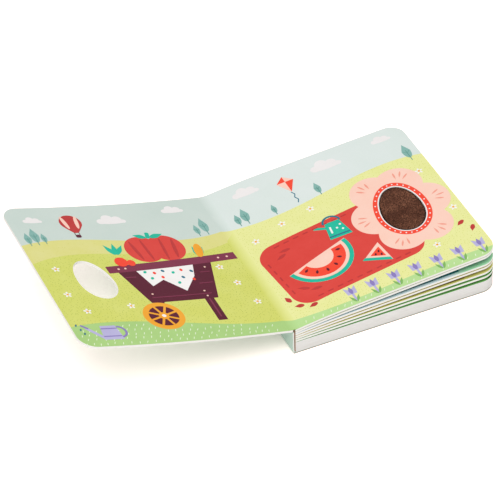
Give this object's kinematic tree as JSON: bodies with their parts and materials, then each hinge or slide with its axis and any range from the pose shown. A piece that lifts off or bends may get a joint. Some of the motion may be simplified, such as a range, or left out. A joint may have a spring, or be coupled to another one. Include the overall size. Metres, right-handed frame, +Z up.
{
  "type": "tactile board book",
  "caption": "Open touch-and-feel board book with fanned thick leaves, a hinged front cover with an egg-shaped window, and a pile patch on the first leaf.",
  "frame": {"origin": "centre of the back's underside, on the surface the book lies on", "axes": "+X from the spine to the fore-edge, +Y from the foot to the head of the pages, +Z up"},
  "size_m": [0.356, 0.182, 0.076],
  "materials": {
    "board": "uncoated white greyboard with cut edges",
    "base_board": "laminated white board",
    "spine_card": "satin laminated pale mint",
    "pile": "short brown pile",
    "sky": "satin laminated print, pale blue-grey",
    "hill": "satin laminated print, pale yellow",
    "meadow": "satin laminated print, yellow-green",
    "grass": "satin laminated print, leaf green",
    "maroon": "satin laminated print, maroon",
    "plum": "satin laminated print, plum",
    "red": "satin laminated print, red",
    "orange": "satin laminated print, orange",
    "cloth_white": "satin laminated print, white",
    "pink": "satin laminated print, pink",
    "teal": "satin laminated print, teal",
    "bright_red": "satin laminated print, orange-red",
    "lilac": "satin laminated print, lilac"
  },
  "bodies": {
    "book_body": {"base_block": "base_board", "cover_wrap": "spine_card", "page_block": "board", "pile_patch": "pile", "right_sky_print": "sky", "right_meadow_print": "meadow", "right_grass_print": "grass", "blanket_print": "red", "melon_print": "pink", "jug_print": "teal", "flower_print": "pink", "flower_ring_print": "bright_red", "tulip_print": "lilac"},
    "cover_body": {"front_cover": "board", "left_sky_print": "sky", "left_hill_print": "hill", "left_meadow_print": "meadow", "left_grass_print": "grass", "pumpkin_print": "red", "barrow_tray_print": "maroon", "barrow_cloth_print": "cloth_white", "barrow_rim_print": "plum", "barrow_wheel_print": "orange"}
  },
  "joints": [
    {"name": "cover_hinge", "type": "hinge", "parent": "book_body", "child": "cover_body", "pos_m": [-0.0906, 0, 0.0251], "axis": [0, 1, 0], "range_deg": [-23.2, 158.2]}
  ]
}
